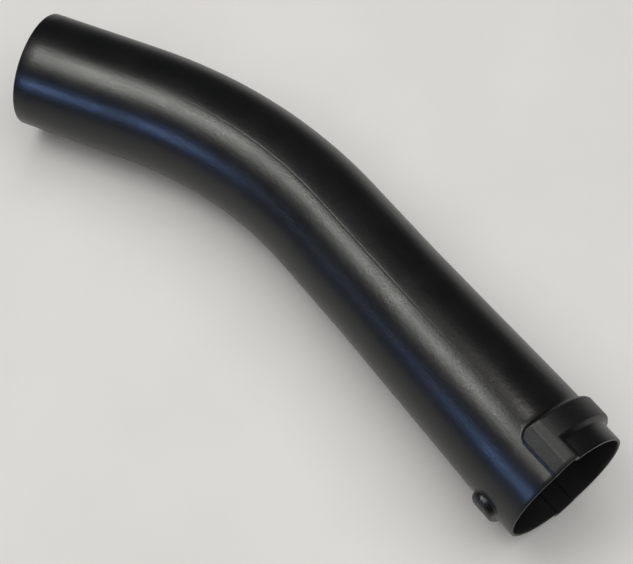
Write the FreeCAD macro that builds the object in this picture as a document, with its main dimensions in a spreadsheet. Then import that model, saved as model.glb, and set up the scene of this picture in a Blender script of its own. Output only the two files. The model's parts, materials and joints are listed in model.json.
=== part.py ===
"""Nozzle tube of a leaf blower: one blow-moulded plastic tube with a bend near its outlet.

The socket end is pushed over the blower's pipe and turned: two raised channels on the socket, half a
turn apart, are hollow inside and guide the pipe's lugs in along a leg and round along an arm.
The tube is drawn with its mouth at the origin, its socket along +X and its bend towards +Y, and is
then laid on the ground the way it comes to rest.
"""
import FreeCAD, Part
import enum
import math
import os

import Sketcher

V = FreeCAD.Vector
NODE = "nozzle_tube"
CLOSE = 1e-3


class Axis(enum.IntEnum):
    """A sketch's own axes, as a constraint counts them."""
    HORIZONTAL = -1
    VERTICAL = -2


class PointOf(enum.IntEnum):
    """Which point of a line, an arc or a circle a constraint holds."""
    START = enum.auto()
    END = enum.auto()
    CENTRE = enum.auto()


ORIGIN_POINT = (Axis.HORIZONTAL, PointOf.START)

doc = FreeCAD.newDocument("blower_nozzle_tube")

# Driving dimensions, in millimetres and degrees
DRIVING = [
    ("socket_diameter", 76.0, "outside of the socket"),
    ("socket_length", 40.0, "round part of the socket, from the mouth"),
    ("taper_end", 150.0, "from the mouth to where the taper ends"),
    ("tube_diameter", 71.5, "outside of the tube past the taper"),
    ("wall", 1.8, "thickness of the plastic everywhere"),
    ("leg_length", 207.0, "from the mouth to the start of the bend"),
    ("bend_radius", 272.0, "bend, at the middle of the tube"),
    ("bend_angle", 31.0, "how far the tube turns"),
    ("outlet_length", 70.0, "straight end past the bend"),
    ("channel_height", 4.0, "how far a channel stands out of the socket"),
    ("channel_front", 12.2, "from the mouth to the front of a channel's arm"),
    ("channel_rear", 28.8, "from the mouth to the back of a channel's arm"),
    ("channel_turn", -24.0, "from straight up to the leg's free side, about the socket"),
    ("leg_sweep", 23.0, "width of a channel's leg, as an angle"),
    ("arm_sweep", 114.0, "leg and arm of a channel together, as an angle"),
    ("heel_round", 6.5, "corner where the leg meets the arm, outside"),
    ("notch_round", 1.0, "corner where the leg meets the arm, inside"),
    ("tip_round", 7.5, "corners at the closed end of the arm"),
    ("crest_round", 2.4, "top edges of a channel"),
    ("foot_round", 0.8, "where a channel grows out of the socket"),
    ("least_round", 0.3, "smallest corner inside a channel"),
]
sheet = doc.addObject("Spreadsheet::Sheet", "sizes")
for row, (alias, value, note) in enumerate(DRIVING, start=1):
    sheet.set(f"A{row}", note)
    sheet.set(f"B{row}", str(value))
    sheet.setAlias(f"B{row}", alias)
doc.recompute()


def worked_out(formula):
    """The number that a formula of the sheet's sizes comes to."""
    return float(sheet.evalExpression(formula))


size = {alias: worked_out(f"sizes.{alias}") for alias, value, note in DRIVING}

body = doc.addObject("PartDesign::Body", NODE)
body.Label = NODE


def origin_feature(role):
    """One of the body's own origin planes or axes."""
    return next(feature for feature in body.Origin.OriginFeatures if feature.Role == role)


def new_sketch(name, role):
    """A sketch on one of the origin planes."""
    sketch = body.newObject("Sketcher::SketchObject", name)
    sketch.AttachmentSupport = [(origin_feature(role), "")]
    sketch.MapMode = "FlatFace"
    return sketch


def turned_sketch(name, turn_formula):
    """A sketch whose plane holds the socket's axis, turned about it from straight up."""
    sketch = new_sketch(name, "XZ_Plane")
    sketch.AttachmentOffset = FreeCAD.Placement(V(), FreeCAD.Rotation(V(1, 0, 0), 1))
    sketch.setExpression(".AttachmentOffset.Rotation.Angle", turn_formula)
    return sketch


def bind(sketch, constraint, name, formula):
    """A named dimension of a sketch that follows the sheet."""
    number = sketch.addConstraint(constraint)
    sketch.renameConstraint(number, name)
    sketch.setExpression(f"Constraints.{name}", formula)


def outline(sketch, corners):
    """A closed line round corners (name, x, y), each x and y a formula of the sheet's sizes."""
    points = [V(worked_out(x), worked_out(y), 0) for name, x, y in corners]
    count = len(points)
    for k in range(count):
        sketch.addGeometry(Part.LineSegment(points[k], points[(k + 1) % count]), False)
    for k, (name, x, y) in enumerate(corners):
        corner = (k, PointOf.START)
        sketch.addConstraint(Sketcher.Constraint("Coincident", (k - 1) % count, PointOf.END, *corner))
        if x == "0":
            sketch.addConstraint(Sketcher.Constraint("PointOnObject", *corner, Axis.VERTICAL))
        else:
            bind(sketch, Sketcher.Constraint("DistanceX", *ORIGIN_POINT, *corner, points[k].x), f"{name}_x", x)
        bind(sketch, Sketcher.Constraint("DistanceY", *ORIGIN_POINT, *corner, points[k].y), f"{name}_y", y)


SOCKET_R = "(sizes.socket_diameter / 2)"
SOCKET_BORE_R = "(sizes.socket_diameter / 2 - sizes.wall)"
TUBE_R = "(sizes.tube_diameter / 2)"
TUBE_BORE_R = "(sizes.tube_diameter / 2 - sizes.wall)"
CREST_R = "(sizes.socket_diameter / 2 + sizes.channel_height)"

# Socket, taper and straight leg: the wall's section, turned about the socket's axis from a line
# midway between the two channels
wall_section = turned_sketch("wall_section", "sizes.channel_turn - (180 - sizes.arm_sweep) / 2")
outline(wall_section, [
    ("mouth_out", "0", SOCKET_R),
    ("socket_out", "sizes.socket_length", SOCKET_R),
    ("taper_out", "sizes.taper_end", TUBE_R),
    ("leg_out", "sizes.leg_length", TUBE_R),
    ("leg_in", "sizes.leg_length", TUBE_BORE_R),
    ("taper_in", "sizes.taper_end", TUBE_BORE_R),
    ("socket_in", "sizes.socket_length", SOCKET_BORE_R),
    ("mouth_in", "0", SOCKET_BORE_R),
])
straight_leg = body.newObject("PartDesign::Revolution", "straight_leg")
straight_leg.Profile = wall_section
straight_leg.ReferenceAxis = (wall_section, ["H_Axis"])
straight_leg.Angle = 360.0

# Bend and outlet: a ring carried along an arc and the straight end that the arc runs into
turn = math.radians(size["bend_angle"])
bend_centre = V(size["leg_length"], size["bend_radius"], 0)
bend_end = bend_centre + V(math.sin(turn), -math.cos(turn), 0) * size["bend_radius"]
outlet_end = bend_end + V(math.cos(turn), math.sin(turn), 0) * size["outlet_length"]
bend_circle = Part.Circle(bend_centre, V(0, 0, 1), size["bend_radius"])
bend_path = new_sketch("bend_path", "XY_Plane")
arc = bend_path.addGeometry(Part.ArcOfCircle(bend_circle, -math.pi / 2, turn - math.pi / 2), False)
straight_end = bend_path.addGeometry(Part.LineSegment(bend_end, outlet_end), False)
bend_path.addConstraint(Sketcher.Constraint("PointOnObject", arc, PointOf.START, Axis.HORIZONTAL))
bend_path.addConstraint(Sketcher.Constraint("Vertical", arc, PointOf.START, arc, PointOf.CENTRE))
bend_path.addConstraint(Sketcher.Constraint("Tangent", arc, PointOf.END, straight_end, PointOf.START))
for name, formula, constraint in [
    ("start", "sizes.leg_length",
     Sketcher.Constraint("DistanceX", *ORIGIN_POINT, arc, PointOf.START, size["leg_length"])),
    ("radius", "sizes.bend_radius", Sketcher.Constraint("Radius", arc, size["bend_radius"])),
    ("angle", "sizes.bend_angle * 1 deg", Sketcher.Constraint("Angle", straight_end, turn)),
    ("length", "sizes.outlet_length", Sketcher.Constraint("Distance", straight_end, size["outlet_length"])),
]:
    bind(bend_path, constraint, name, formula)
ring = new_sketch("ring", "YZ_Plane")
ring.setExpression(".AttachmentOffset.Base.z", "sizes.leg_length")
for number, (name, formula) in enumerate([("outside", TUBE_R), ("inside", TUBE_BORE_R)]):
    ring.addGeometry(Part.Circle(V(), V(0, 0, 1), worked_out(formula)), False)
    ring.addConstraint(Sketcher.Constraint("Coincident", number, PointOf.CENTRE, *ORIGIN_POINT))
    bind(ring, Sketcher.Constraint("Radius", number, worked_out(formula)), name, formula)
bend = body.newObject("PartDesign::AdditivePipe", "bend")
bend.Profile = ring
bend.Spine = bend_path
doc.recompute()


def sector(kind, name, span, heights, turn_formula, sweep_formula):
    """A block turned about the socket's axis: a span along it, two heights above it, and an angle."""
    (front, rear), (low, high) = span, heights
    section = turned_sketch(f"{name}_section", turn_formula)
    outline(section, [
        ("front_low", front, low),
        ("rear_low", rear, low),
        ("rear_high", rear, high),
        ("front_high", front, high),
    ])
    feature = body.newObject(f"PartDesign::{kind}", name)
    feature.Profile = section
    feature.ReferenceAxis = (section, ["H_Axis"])
    feature.setExpression("Angle", sweep_formula)
    doc.recompute()
    return feature


def half_a_turn_apart(name, originals):
    """The same features again on the other side of the socket."""
    pattern = body.newObject("PartDesign::PolarPattern", name)
    pattern.Originals = originals
    pattern.Axis = (origin_feature("X_Axis"), [""])
    pattern.Angle = 360.0
    pattern.Occurrences = 2
    body.Tip = pattern
    doc.recompute()
    return pattern


def middle_of(edge):
    """The point halfway along an edge."""
    return edge.valueAt((edge.FirstParameter + edge.LastParameter) / 2)


def height_of(point):
    """Distance of a point from the socket's axis."""
    return math.hypot(point.y, point.z)


def corner_edges(shape, distance, angle):
    """Straight edges of both channels that point away from the socket's axis, at one distance from
    the mouth and one angle from straight up."""
    names = []
    for number, edge in enumerate(shape.Edges, start=1):
        middle = middle_of(edge)
        turned = math.degrees(math.atan2(-middle.y, middle.z))
        off = math.remainder(turned - angle, 180)
        upright = edge.Curve.TypeId == "Part::GeomLine" and abs(edge.tangentAt(edge.FirstParameter).x) < CLOSE
        if upright and abs(middle.x - distance) < CLOSE and abs(off) < CLOSE:
            names.append(f"Edge{number}")
    return names


def rim_edges(shape, height):
    """Edges of both channels at one height above the socket's axis, the mouth's own edge left out."""
    names = []
    for number, edge in enumerate(shape.Edges, start=1):
        middle = middle_of(edge)
        on_channel = CLOSE < middle.x < size["channel_rear"] + CLOSE
        if on_channel and abs(height_of(middle) - height) < CLOSE:
            names.append(f"Edge{number}")
    return names


def rounded(name, base, edges, formula):
    """Edges rounded to a radius from the sheet."""
    fillet = body.newObject("PartDesign::Fillet", name)
    fillet.Base = (base, edges)
    fillet.setExpression("Radius", formula)
    doc.recompute()
    return fillet


# Twist-lock channels: a leg from the mouth, then an arm round the socket
SUNK_R = f"({SOCKET_R} - sizes.wall / 2)"
channel_leg = sector("Revolution", "channel_leg", ("0", "sizes.channel_rear"), (SUNK_R, CREST_R),
                     "sizes.channel_turn", "sizes.leg_sweep")
channel_arm = sector("Revolution", "channel_arm", ("sizes.channel_front", "sizes.channel_rear"),
                     (SUNK_R, CREST_R), "sizes.channel_turn", "sizes.arm_sweep")
both_channels = half_a_turn_apart("both_channels", [channel_leg, channel_arm])
front, rear = size["channel_front"], size["channel_rear"]
leg_side = size["channel_turn"]
notch_side = leg_side + size["leg_sweep"]
tip_side = leg_side + size["arm_sweep"]

# The channels' hollow inside, a wall in from every side and open at the mouth and to the bore
SIDE_TURN = f"(sizes.wall / {SOCKET_R} * 180 / pi)"
INNER_TURN = f"sizes.channel_turn + {SIDE_TURN}"
INNER_REAR = "sizes.channel_rear - sizes.wall"
INNER_FRONT = "sizes.channel_front + sizes.wall"
HOLLOW = (f"{SOCKET_BORE_R} - sizes.wall", f"{CREST_R} - sizes.wall")
leg_groove = sector("Groove", "leg_groove", ("0", INNER_REAR), HOLLOW,
                    INNER_TURN, f"sizes.leg_sweep - 2 * {SIDE_TURN}")
arm_groove = sector("Groove", "arm_groove", (INNER_FRONT, INNER_REAR), HOLLOW,
                    INNER_TURN, f"sizes.arm_sweep - 2 * {SIDE_TURN}")
both_grooves = half_a_turn_apart("both_grooves", [leg_groove, arm_groove])
inner_front, inner_rear = worked_out(INNER_FRONT), worked_out(INNER_REAR)
inner_side = worked_out(INNER_TURN)
inner_tip_side = tip_side - worked_out(SIDE_TURN)
inner_heel = rounded("inner_heel", both_grooves, corner_edges(both_grooves.Shape, inner_rear, inner_side),
                     "max(sizes.heel_round - sizes.wall; sizes.least_round)")
inner_tip_corners = (corner_edges(inner_heel.Shape, inner_front, inner_tip_side)
                     + corner_edges(inner_heel.Shape, inner_rear, inner_tip_side))
inner_tip = rounded("inner_tip", inner_heel, inner_tip_corners,
                    "max(sizes.tip_round - sizes.wall; sizes.least_round)")

# The channels outside: corners rounded about the hollow's own, then the edges of top and foot
heel = rounded("heel", inner_tip, corner_edges(inner_tip.Shape, rear, leg_side), "sizes.heel_round")
notch = rounded("notch", heel, corner_edges(heel.Shape, front, notch_side), "sizes.notch_round")
tip_corners = corner_edges(notch.Shape, front, tip_side) + corner_edges(notch.Shape, rear, tip_side)
tip = rounded("tip", notch, tip_corners, "sizes.tip_round")
crest = rounded("crest", tip, rim_edges(tip.Shape, worked_out(CREST_R)), "sizes.crest_round")
rounded("foot", crest, rim_edges(crest.Shape, worked_out(SOCKET_R)), "sizes.foot_round")

# Every feature has to have worked, and each groove has to have cut
for thing in doc.Objects:
    if "Invalid" in thing.State or "Error" in thing.State:
        raise RuntimeError(f"{thing.Name} failed: {thing.State}")
volumes = [feature.Shape.Volume for feature in (both_channels, leg_groove, arm_groove, both_grooves)]
if volumes != sorted(set(volumes), reverse=True):
    raise RuntimeError("a groove cut nothing")

# At rest the tube lies on the lower channel and on its bend, with its weight over the line between
# the two: the bend touches the ground at the turn where that line crosses it
weight = body.Shape.Solids[0].CenterOfMass
prop = V(rear - size["crest_round"], 0, -worked_out(CREST_R))
slope = weight.y / (weight.x - prop.x)
lead = slope * (size["leg_length"] - prop.x) / size["bend_radius"]
touch_turn = min(math.atan(slope) + math.acos((1 - lead) / math.hypot(1, slope)), turn)
along = V(math.cos(touch_turn), math.sin(touch_turn), 0)
touch = bend_centre + V(along.y, -along.x, 0) * size["bend_radius"] - V(0, 0, worked_out(TUBE_R))
up = (touch - prop).cross(along)
laid = FreeCAD.Rotation(up, V(0, 0, 1))
body.Placement = FreeCAD.Placement(V(), laid)
box = body.Shape.optimalBoundingBox(False, False)
body.Placement = FreeCAD.Placement(V(-box.Center.x, -box.Center.y, -box.ZMin), laid)
doc.recompute()

if body.Shape.isNull() or not body.Shape.isValid() or len(body.Shape.Solids) != 1:
    raise RuntimeError("the tube isn't one sound solid")
tube = body.Shape.Solids[0]
print("volume", tube.Volume, "weight over", tube.CenterOfMass)
print("mouth", body.Placement.multVec(V()), "facing", laid.multVec(V(-1, 0, 0)))
print("outlet", body.Placement.multVec(outlet_end), "facing", laid.multVec(outlet_end - bend_end).normalize())
os.makedirs("parts", exist_ok=True)
tube.exportStep(f"parts/{NODE}.step")
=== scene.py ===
import json
import math

import bmesh
import bpy
from mathutils import Matrix, Vector, noise


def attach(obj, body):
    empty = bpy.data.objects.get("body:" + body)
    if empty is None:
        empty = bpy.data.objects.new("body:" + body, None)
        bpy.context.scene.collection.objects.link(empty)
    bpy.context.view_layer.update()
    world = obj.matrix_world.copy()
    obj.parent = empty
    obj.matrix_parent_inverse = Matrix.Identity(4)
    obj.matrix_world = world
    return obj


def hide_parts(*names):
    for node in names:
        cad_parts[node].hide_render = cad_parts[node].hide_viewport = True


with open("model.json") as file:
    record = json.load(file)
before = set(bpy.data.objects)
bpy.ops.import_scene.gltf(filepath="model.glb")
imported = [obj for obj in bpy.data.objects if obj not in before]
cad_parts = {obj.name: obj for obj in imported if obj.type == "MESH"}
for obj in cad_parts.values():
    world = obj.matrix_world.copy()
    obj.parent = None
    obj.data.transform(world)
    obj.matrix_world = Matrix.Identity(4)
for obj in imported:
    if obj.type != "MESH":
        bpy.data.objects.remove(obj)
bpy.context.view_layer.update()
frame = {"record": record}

# Nozzle tube: one pipe of black polyethylene that carries a leaf blower's air down to the ground.
# It is blown out against the two halves of a mould, so socket, taper, bend and outlet are a single
# wall, and both ends are then cut square. Sizes are in millimetres until the tube is laid down.
WALL = 1.8
SOCKET_RADIUS = 38.0
SOCKET_END = 40.0
TAPER_END = 150.0
TUBE_RADIUS = 35.75
LEG_END = 207.0
BEND_RADIUS = 272.0
BEND_TURN = math.radians(31)
OUTLET_LENGTH = 70.0
BEND_CENTRE = Vector((LEG_END, BEND_RADIUS, 0))
OUTLET_WAY = Vector((math.cos(BEND_TURN), math.sin(BEND_TURN), 0))
OUTLET_START = BEND_CENTRE + Vector((math.sin(BEND_TURN), -math.cos(BEND_TURN), 0)) * BEND_RADIUS

# The leg's line from the mouth: where a stretch ends, how far it is from the axis there and its rows
# of faces, which are closest where the front and the back of the channels' arms rise
STRETCHES = [
    (10.7, SOCKET_RADIUS, 4),
    (20.2, SOCKET_RADIUS, 38),
    (21.8, SOCKET_RADIUS, 2),
    (30.2, SOCKET_RADIUS, 32),
    (SOCKET_END, SOCKET_RADIUS, 4),
    (TAPER_END, TUBE_RADIUS, 14),
    (LEG_END, TUBE_RADIUS, 7),
]
BEND_ROWS, OUTLET_ROWS = 24, 8
# Half a turn round the socket, in degrees and steps, from a little before a channel's leg: the leg's
# free side, its top, its other side, the arm, the arm's closed end and the bare wall that is left
LEG_SIDE = math.radians(-24)
FIRST_TURN = LEG_SIDE - math.radians(3.5)
SECTORS = [(13.5, 36), (6.0, 8), (9.5, 30), (76.5, 30), (16.0, 36), (58.5, 18)]
SAME_SPOT = 0.001

tube = bmesh.new()
out = Vector((0, -math.sin(FIRST_TURN), math.cos(FIRST_TURN)))
line = [tube.verts.new(out * SOCKET_RADIUS)]
line += [tube.verts.new(Vector((end, 0, 0)) + out * radius) for end, radius, rows in STRETCHES]
stretches = [tube.edges.new(ends) for ends in zip(line, line[1:])]
for stretch, (end, radius, rows) in zip(stretches, STRETCHES):
    bmesh.ops.subdivide_edges(tube, edges=[stretch], cuts=rows - 1)
swept = tube.verts[:] + tube.edges[:]
for degrees, steps in SECTORS * 2:
    sector = bmesh.ops.spin(tube, geom=swept, cent=(0, 0, 0), axis=(1, 0, 0),
                            angle=math.radians(degrees), steps=steps)
    swept = sector["geom_last"]
bmesh.ops.remove_doubles(tube, verts=tube.verts[:], dist=SAME_SPOT)

# The bend carries the leg's last ring round a centre beside it, and the outlet runs straight on
last_ring = [edge for edge in tube.edges if all(vert.co.x > LEG_END - SAME_SPOT for vert in edge.verts)]
ring_verts = list(dict.fromkeys(vert for edge in last_ring for vert in edge.verts))
bend = bmesh.ops.spin(tube, geom=ring_verts + last_ring, cent=BEND_CENTRE, axis=(0, 0, 1),
                      angle=BEND_TURN, steps=BEND_ROWS)
bend_ring = [part for part in bend["geom_last"] if isinstance(part, bmesh.types.BMEdge)]
outlet = bmesh.ops.extrude_edge_only(tube, edges=bend_ring)["geom"]
end_verts = {part for part in outlet if isinstance(part, bmesh.types.BMVert)}
bmesh.ops.translate(tube, verts=list(end_verts), vec=OUTLET_WAY * OUTLET_LENGTH)
runs = [edge for edge in tube.edges if len(end_verts & set(edge.verts)) == 1]
bmesh.ops.subdivide_edges(tube, edges=runs, cuts=OUTLET_ROWS - 1)
bmesh.ops.remove_doubles(tube, verts=tube.verts[:], dist=SAME_SPOT)
bmesh.ops.recalc_face_normals(tube, faces=tube.faces[:])


def straightened(point):
    """Where a point of the tube would be if the bend were opened out."""
    if point.x <= LEG_END:
        return point.copy()
    arm = point - BEND_CENTRE
    turn = math.atan2(arm.x, -arm.y)
    if turn <= BEND_TURN:
        return Vector((LEG_END + BEND_RADIUS * turn, BEND_RADIUS - math.hypot(arm.x, arm.y), point.z))
    past = point - OUTLET_START
    side = past.dot(Vector((-OUTLET_WAY.y, OUTLET_WAY.x, 0)))
    return Vector((LEG_END + BEND_RADIUS * BEND_TURN + past.dot(OUTLET_WAY), side, point.z))


# A blown wall is never quite true: it swells and sinks a little, and the light along it wavers
SWELL, SWELL_LENGTH, SWELL_WIDTH = 0.10, 60, 30
tube.normal_update()
for vert in tube.verts:
    opened = straightened(vert.co)
    wave = Vector((opened.x / SWELL_LENGTH, opened.y / SWELL_WIDTH, opened.z / SWELL_WIDTH))
    vert.co += vert.normal * SWELL * noise.noise(wave)

# The wall's thickness goes inwards, and the two cut ends lose their sharp edges
CUT_ROUND = 0.35
SHARP_TURN = math.radians(70)
within = tube.verts.layers.float.new("inside")
for part in bmesh.ops.solidify(tube, geom=tube.faces[:], thickness=WALL)["geom"]:
    if isinstance(part, bmesh.types.BMVert):
        part[within] = 1
cut_edges = [edge for edge in tube.edges if edge.calc_face_angle(0) > SHARP_TURN]
bmesh.ops.bevel(tube, geom=cut_edges, affect="EDGES", offset=CUT_ROUND, offset_type="OFFSET",
                segments=2, profile=0.5, material=-1)

# Twist-lock channels: two L-shaped ridges in the socket's wall, half a turn apart, hollow inside, for
# the lugs on the blower's pipe to slide in along a leg and turn along an arm. They are blown with the
# wall, so every edge is rounded, and the leg's top slants up in two flats from its low free side.
CHANNEL_HEIGHT = 4.0
ARM_FRONT, ARM_REAR = 12.2, 28.8
ARM_MIDDLE = (ARM_FRONT + ARM_REAR) / 2
HEEL_ROUND, TIP_ROUND, NOTCH_ROUND = 6.5, 7.5, 1.0

# Widths round the socket are unrolled from angles, which start at a leg's free side. A part of the
# bare wall before that side, in radians, counts with the same leg.
UNROLLED_RADIUS = 40.0
LEG_WIDTH = math.radians(23) * UNROLLED_RADIUS
ARM_WIDTH = math.radians(114) * UNROLLED_RADIUS
BARE_TURN = 0.6

# A side grows out of the socket with a ramped foot and leans in a little as it climbs, and on the
# leg's low side it still stands up by a least height
FOOT_RUN, FOOT_RISE, FOOT_HOLLOW = 1.2, 0.32, 1.25
SIDE_START, SIDE_DRAFT, LOW_SIDE = -0.25, 0.6, 0.55
FOOT_END = ARM_REAR - SIDE_START + FOOT_RUN

# Each flat of the leg's top, by the angle that it faces and its distance from the socket's axis, and
# how far aside of that angle it is followed
LEG_FLATS = [(math.radians(-33.7), 38.2), (math.radians(-22), 40.4)]
FLAT_REACH = 1.0

# The crest's round, by its greatest height and by how far in it reaches on each side of a channel,
# and where one side's round passes into the next
CREST_HEIGHT = 2.8
LEG_CREST, FRONT_CREST, REAR_CREST, TIP_CREST = 0.8, 1.3, 2.4, 3.5
REAR_TO_FRONT = (ARM_MIDDLE + 3, ARM_MIDDLE - 3)
ARM_TO_TIP = (ARM_WIDTH - 14, ARM_WIDTH - 5)
ARM_TO_LEG = (12, 5)


def depth_in(across, along, box, rounds):
    """How far a point lies inside a rectangle, in from its nearest side, and below 0 outside it. The
    corners' rounds come as a pair for the front and a pair for the rear, each from left to right."""
    left, right, front, rear = box
    middle_across = (left + right) / 2
    middle_along = (front + rear) / 2
    corner = rounds[along > middle_along][across >= middle_across]
    x = abs(across - middle_across) - (right - left) / 2 + corner
    y = abs(along - middle_along) - (rear - front) / 2 + corner
    return corner - math.hypot(max(x, 0), max(y, 0)) - min(max(x, y), 0)


def faded(first, second, value, start, end):
    """From one number to another, smoothly, as a value goes from its start to its end."""
    part = min(max((value - start) / (end - start), 0), 1)
    return first + (second - first) * part * part * (3 - 2 * part)


def channel_rise(along, turn, inset):
    """How far the wall stands out at a distance from the mouth and an angle about the socket, on its
    outside or, a wall's thickness in from every side, on its inside."""
    past_side = (turn - LEG_SIDE + BARE_TURN) % math.pi - BARE_TURN
    across = past_side * UNROLLED_RADIUS
    leg = depth_in(across, along, (0, LEG_WIDTH, -ARM_REAR, ARM_REAR), ((0, 0), (HEEL_ROUND, 0)))
    arm = depth_in(across, along, (0, ARM_WIDTH, ARM_FRONT, ARM_REAR),
                   ((0, TIP_ROUND), (HEEL_ROUND, TIP_ROUND)))
    notch = max(NOTCH_ROUND - abs(leg - arm), 0) / NOTCH_ROUND
    depth = max(leg, arm) + notch * notch * NOTCH_ROUND / 4 - inset
    if depth <= SIDE_START:
        foot = max(1 - (SIDE_START - depth) / FOOT_RUN, 0)
        return FOOT_RISE * foot ** FOOT_HOLLOW
    top = CHANNEL_HEIGHT
    for facing, distance in LEG_FLATS:
        aside = min(past_side + LEG_SIDE - facing, FLAT_REACH)
        top = min(top, (distance - inset) / math.cos(aside) - (SOCKET_RADIUS - inset))
    crest = faded(REAR_CREST, FRONT_CREST, along, *REAR_TO_FRONT)
    crest = faded(crest, TIP_CREST, across, *ARM_TO_TIP)
    crest = faded(crest, LEG_CREST, across, *ARM_TO_LEG)
    crest_rise = min(crest, CREST_HEIGHT, top - LOW_SIDE)
    shoulder = top - crest_rise
    side_end = SIDE_START + SIDE_DRAFT * (shoulder - FOOT_RISE)
    if depth <= side_end:
        return FOOT_RISE + (depth - SIDE_START) / SIDE_DRAFT
    part = min((depth - side_end) / crest, 1)
    return shoulder + crest_rise * math.sqrt(1 - (1 - part) ** 2)


straight = tube.verts.layers.float_vector.new("straightened")
raised = tube.verts.layers.float.new("raised")
for vert in tube.verts:
    if vert.co.x < FOOT_END:
        rise = channel_rise(vert.co.x, math.atan2(-vert.co.y, vert.co.z), WALL * vert[within])
        vert.co += Vector((0, vert.co.y, vert.co.z)).normalized() * rise
        vert[raised] = rise / CHANNEL_HEIGHT * (1 - vert[within])
    vert[straight] = straightened(vert.co)
for face in tube.faces:
    face.smooth = True

# The tube is laid down, in metres, where its two open ends say that it lies
METRES_PER_MILLIMETRE = 0.001
mounts = {mount["name"]: mount for mount in frame["record"]["mounts"]}
lengthways = -Vector(mounts["socket"]["axis"]).normalized()
upwards = lengthways.cross(Vector(mounts["outlet"]["axis"])).normalized()
axes = Matrix((lengthways, upwards.cross(lengthways), upwards)).transposed().to_4x4()
laid = (Matrix.Translation(Vector(mounts["socket"]["pos_m"])) @ axes
        @ Matrix.Scale(METRES_PER_MILLIMETRE, 4))
bmesh.ops.transform(tube, matrix=laid, verts=tube.verts[:])

tube_mesh = bpy.data.meshes.new("nozzle_tube_skin")
tube.to_mesh(tube_mesh)
tube.free()
nozzle_tube = bpy.data.objects.new("nozzle_tube_skin", tube_mesh)
bpy.context.scene.collection.objects.link(nozzle_tube)


class Shade:
    """An output of a node in a material, which plain arithmetic can be written with."""

    def __init__(self, tree, socket=None):
        self.tree = tree
        self.socket = socket

    def add(self, kind, settings=None, inputs=None, output=0):
        """One more node: its settings first, then the value or the link of each socket named."""
        node = self.tree.nodes.new(kind)
        for name, value in (settings or {}).items():
            setattr(node, name, value)
        for name, value in (inputs or {}).items():
            if isinstance(value, Shade):
                self.tree.links.new(value.socket, node.inputs[name])
            else:
                node.inputs[name].default_value = value
        return Shade(self.tree, node.outputs[output] if node.outputs else None)

    def maths(self, operation, *terms):
        """One sum on values, each a number or another node's output."""
        return self.add("ShaderNodeMath", {"operation": operation}, dict(enumerate(terms)))

    def __add__(self, other):
        return self.maths("ADD", self, other)

    def __radd__(self, other):
        return self.maths("ADD", other, self)

    def __sub__(self, other):
        return self.maths("SUBTRACT", self, other)

    def __rsub__(self, other):
        return self.maths("SUBTRACT", other, self)

    def __mul__(self, other):
        return self.maths("MULTIPLY", self, other)

    def __rmul__(self, other):
        return self.maths("MULTIPLY", other, self)

    def __abs__(self):
        return self.maths("ABSOLUTE", self)

    def step(self, start, end):
        """Rises smoothly from 0 to 1 between two values, or falls where the first is the larger."""
        return self.add("ShaderNodeMapRange", {"interpolation_type": "SMOOTHSTEP"},
                        {"Value": self, "From Min": start, "From Max": end})

    def stretched(self, factors):
        """These coordinates, each times its own factor."""
        return self.add("ShaderNodeVectorMath", {"operation": "MULTIPLY"}, {0: self, 1: factors})

    def measured(self, direction):
        """How far these coordinates lie from their origin in one direction."""
        return self.add("ShaderNodeVectorMath", {"operation": "DOT_PRODUCT"},
                        {0: self, 1: direction}, output=1)

    def cloud(self, scale, detail=2.0, roughness=0.5):
        """Soft noise on these coordinates, about 0.5 on average."""
        return self.add("ShaderNodeTexNoise", {}, {"Vector": self, "Scale": scale, "Detail": detail,
                                                   "Roughness": roughness})

    def blend(self, first, second):
        """From one colour to another as this value goes from 0 to 1."""
        return self.add("ShaderNodeMix", {"data_type": "RGBA"}, {0: self, 6: first, 7: second}, output=2)


# Black polyethylene, semi-gloss as it left the mould: a fine grain from the sanded mould, faint lines
# along it from the die that the hose was drawn through, a shallow seam where the mould's halves met,
# and channels that are rubbed duller than the rest
DEEP_BLACK, SOFT_BLACK = (0.0038, 0.0040, 0.0046, 1), (0.0054, 0.0056, 0.0064, 1)
RUBBED_BLACK = (0.0070, 0.0070, 0.0078, 1)
INNER_BLACK = (0.014, 0.014, 0.015, 1)
GLOSS_ROUGHNESS = 0.33
DIE_LINE_STRETCH = (0.014, 0.9, 0.9)
black_plastic = bpy.data.materials.new("black_plastic")
black_plastic.use_nodes = True
black_plastic.node_tree.nodes.clear()
plastic = Shade(black_plastic.node_tree)
place = plastic.add("ShaderNodeAttribute", {"attribute_name": "straightened"}, output=1)
inside = plastic.add("ShaderNodeAttribute", {"attribute_name": "inside"}, output=2)
rubbed = plastic.add("ShaderNodeAttribute", {"attribute_name": "raised"}, output=2)
mottle = place.cloud(scale=0.045, detail=3.0)
grain = place.cloud(scale=1.2, roughness=0.6)
pebble = place.cloud(scale=0.33)
die_lines = place.stretched(DIE_LINE_STRETCH).cloud(scale=1.0, detail=3.0, roughness=0.6)

# The seam runs along the top and the underside, and stands out most in the middle of the tube
PARTING_TURN = math.radians(-15.6)
SEAM_EDGE, SEAM_CORE = 0.8, 0.15
FAINT_SEAM, CLEAR_SEAM = 0.25, 0.75
SEAM_CLEARS, SEAM_FADES = (80, 170), (330, 240)
across_seam = place.measured((0, math.cos(PARTING_TURN), math.sin(PARTING_TURN)))
along_tube = place.measured((1, 0, 0))
mid_tube = along_tube.step(*SEAM_CLEARS) * along_tube.step(*SEAM_FADES)
seam = abs(across_seam).step(SEAM_EDGE, SEAM_CORE) * (FAINT_SEAM + CLEAR_SEAM * mid_tube)

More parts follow.
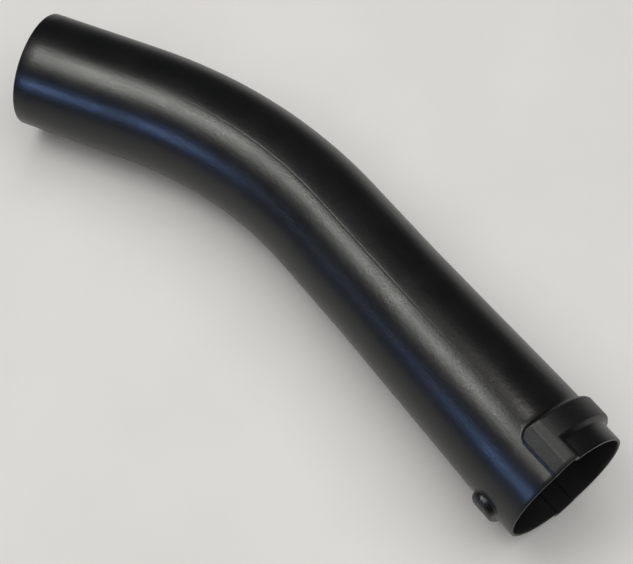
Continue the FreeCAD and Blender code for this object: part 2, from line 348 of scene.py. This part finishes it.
scuffs = rubbed * grain.step(0.35, 0.65)
moulded = mottle.step(0.3, 0.7).blend(DEEP_BLACK, SOFT_BLACK)
colour = inside.blend(scuffs.blend(moulded, RUBBED_BLACK), INNER_BLACK)
rough = (GLOSS_ROUGHNESS + 0.10 * (mottle - 0.5) + 0.20 * (grain - 0.5) + 0.08 * (die_lines - 0.5)
         + 0.12 * inside + 0.11 * rubbed)
height = 0.05 * grain + 0.05 * pebble + 0.012 * die_lines - 0.035 * seam
relief = plastic.add("ShaderNodeBump", {}, {
    "Strength": 1.0,
    "Distance": METRES_PER_MILLIMETRE,
    "Height": height,
})
surface = plastic.add("ShaderNodeBsdfPrincipled", {}, {
    "Base Color": colour,
    "Roughness": rough,
    "IOR": 1.5,
    "Specular IOR Level": 0.4,
    "Normal": relief,
})
plastic.add("ShaderNodeOutputMaterial", {}, {"Surface": surface})
tube_mesh.materials.append(black_plastic)

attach(nozzle_tube, "root")
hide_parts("nozzle_tube")

# Floor: a wide round sheet of matt pale paper that the tube lies on, a little cloudy in tone and with
# a faint tooth. Its colour is palest round the tube and fades over a wide soft edge to grey farther off:
# painted shade for the light falling off away from the tube, so that the plastic's flanks mirror the
# pale part near by and the grey beyond it.
FLOOR_RADIUS, FLOOR_SIDES = 3.6, 96
# The far grey is painted shade, where the light is taken to fall off away from the tube
FAR_GREY_PAINTED_SHADE = (0.31, 0.31, 0.31, 1)
DULL_PALE, BRIGHT_PALE = (0.745, 0.735, 0.715, 1), (0.775, 0.765, 0.745, 1)
TOOTH_DEPTH = 0.0002
sheet = bmesh.new()
bmesh.ops.create_circle(sheet, cap_ends=True, segments=FLOOR_SIDES, radius=FLOOR_RADIUS)
sheet_mesh = bpy.data.meshes.new("floor")
sheet.to_mesh(sheet_mesh)
sheet.free()
floor = bpy.data.objects.new("floor", sheet_mesh)
bpy.context.scene.collection.objects.link(floor)

# The pale part's sides are measured from below the point of the tube that the camera aims at, to the
# right of the way that the camera heads and along it, and each fades out into painted shade over one
# width
AIM = Vector((-0.0317, -0.0027, 0.038))
HEADING = math.radians(-36.87)
PALE_LEFT, PALE_RIGHT, PALE_NEAR, PALE_FAR = -0.222, 0.36, -0.163, 0.25
SHADE_FADE_WIDTH = 0.24
RIGHTWARDS = Vector((math.sin(HEADING), -math.cos(HEADING), 0))
ONWARDS = Vector((math.cos(HEADING), math.sin(HEADING), 0))
paper = bpy.data.materials.new("pale_paper")
paper.use_nodes = True
paper.node_tree.nodes.clear()
matt = Shade(paper.node_tree)
spot = matt.add("ShaderNodeTexCoord", output=3)
to_right = spot.measured(RIGHTWARDS) - AIM.dot(RIGHTWARDS)
to_far = spot.measured(ONWARDS) - AIM.dot(ONWARDS)
# A painted pool of light: pale paper round the tube, fading softly into painted shade farther off
pale_patch_light_pool = (to_right.step(PALE_LEFT - SHADE_FADE_WIDTH, PALE_LEFT)
        * to_right.step(PALE_RIGHT + SHADE_FADE_WIDTH, PALE_RIGHT)
        * to_far.step(PALE_NEAR - SHADE_FADE_WIDTH, PALE_NEAR)
        * to_far.step(PALE_FAR + SHADE_FADE_WIDTH, PALE_FAR))
clouds = spot.cloud(scale=9.0, detail=4.0)
tone = pale_patch_light_pool.blend(FAR_GREY_PAINTED_SHADE, clouds.step(0.3, 0.7).blend(DULL_PALE, BRIGHT_PALE))
tooth = matt.add("ShaderNodeBump", {}, {
    "Strength": 0.3,
    "Distance": TOOTH_DEPTH,
    "Height": spot.cloud(scale=900.0),
})
paper_surface = matt.add("ShaderNodeBsdfPrincipled", {}, {
    "Base Color": tone,
    "Roughness": 0.65 + 0.2 * clouds,
    "Specular IOR Level": 0.1,
    "Normal": tooth,
})
matt.add("ShaderNodeOutputMaterial", {}, {"Surface": paper_surface})
sheet_mesh.materials.append(paper)


# Light: soft panels round the tube in a dim room. The first five show only in gloss, where they draw
# the plastic's bright bands and the bluish glint of a window, and the last two light the floor and
# the plastic's own colour.
def soft_panel(name, azimuth, elevation, distance, size, brightness, colour, in_gloss):
    """A panel that faces the tube, given by where it stands as seen from there, its width and height,
    and how bright it looks."""
    lamp = bpy.data.lights.new(name, "AREA")
    lamp.shape = "RECTANGLE"
    lamp.size, lamp.size_y = size
    lamp.energy = brightness * math.pi * size[0] * size[1]
    lamp.color = colour
    turn, rise = math.radians(azimuth), math.radians(elevation)
    way = Vector((math.cos(turn) * math.cos(rise), math.sin(turn) * math.cos(rise), math.sin(rise)))
    panel = bpy.data.objects.new(name, lamp)
    panel.location = AIM + way * distance
    panel.rotation_euler = (-way).to_track_quat("-Z", "Y").to_euler()
    panel.visible_glossy = in_gloss
    panel.visible_diffuse = not in_gloss
    bpy.context.scene.collection.objects.link(panel)


soft_panel("main_panel", 40.8, 61.9, 1.2, (0.54, 0.21), 19.0, (0.99, 1.0, 0.92), in_gloss=True)
soft_panel("end_panel", 78.5, 61.5, 1.25, (0.14, 0.14), 15.0, (0.99, 1.0, 0.95), in_gloss=True)
soft_panel("side_panel", -79, 76.6, 1.2, (0.12, 0.10), 62.0, (1.0, 0.95, 0.90), in_gloss=True)
soft_panel("window_near", 64, 18.3, 1.4, (0.10, 0.06), 18.0, (0.60, 0.80, 1.0), in_gloss=True)
soft_panel("window_far", 86, 18.5, 1.4, (0.30, 0.06), 67.0, (0.32, 0.50, 1.0), in_gloss=True)
soft_panel("key", 41, 62, 2.6, (0.9, 0.9), 3.5, (1.0, 0.99, 0.96), in_gloss=False)
soft_panel("overhead", 0, 90, 1.8, (4.0, 4.0), 1.27, (1.0, 0.995, 0.98), in_gloss=False)

ROOM_GREY = (0.05, 0.05, 0.052, 1)
room = bpy.data.worlds.new("dim_room")
room.use_nodes = True
room.node_tree.nodes.clear()
dim = Shade(room.node_tree)
background = dim.add("ShaderNodeBackground", {}, {"Color": ROOM_GREY, "Strength": 1.0})
dim.add("ShaderNodeOutputWorld", {}, {"Surface": background})
bpy.context.scene.world = room

# Camera: above the tube's socket end and a little beside it, as the photograph was taken. The lens is
# as long as the photograph's perspective asks for, given in pixels of the picture's width.
LOOK_DOWN, RANGE = math.radians(61.04), 0.8037
LENS_PIXELS, PICTURE_PIXELS = 1400, 633
SENSOR_WIDTH = 36.0
look = Vector((math.cos(HEADING) * math.cos(LOOK_DOWN), math.sin(HEADING) * math.cos(LOOK_DOWN),
               -math.sin(LOOK_DOWN)))
camera_data = bpy.data.cameras.new("camera")
camera_data.sensor_fit = "HORIZONTAL"
camera_data.sensor_width = SENSOR_WIDTH
camera_data.lens = SENSOR_WIDTH * LENS_PIXELS / PICTURE_PIXELS
camera = bpy.data.objects.new("camera", camera_data)
camera.location = AIM - look * RANGE
camera.rotation_euler = look.to_track_quat("-Z", "Y").to_euler()
bpy.context.scene.collection.objects.link(camera)
bpy.context.scene.camera = camera
bpy.context.scene.view_settings.view_transform = "Standard"

bpy.context.view_layer.update()
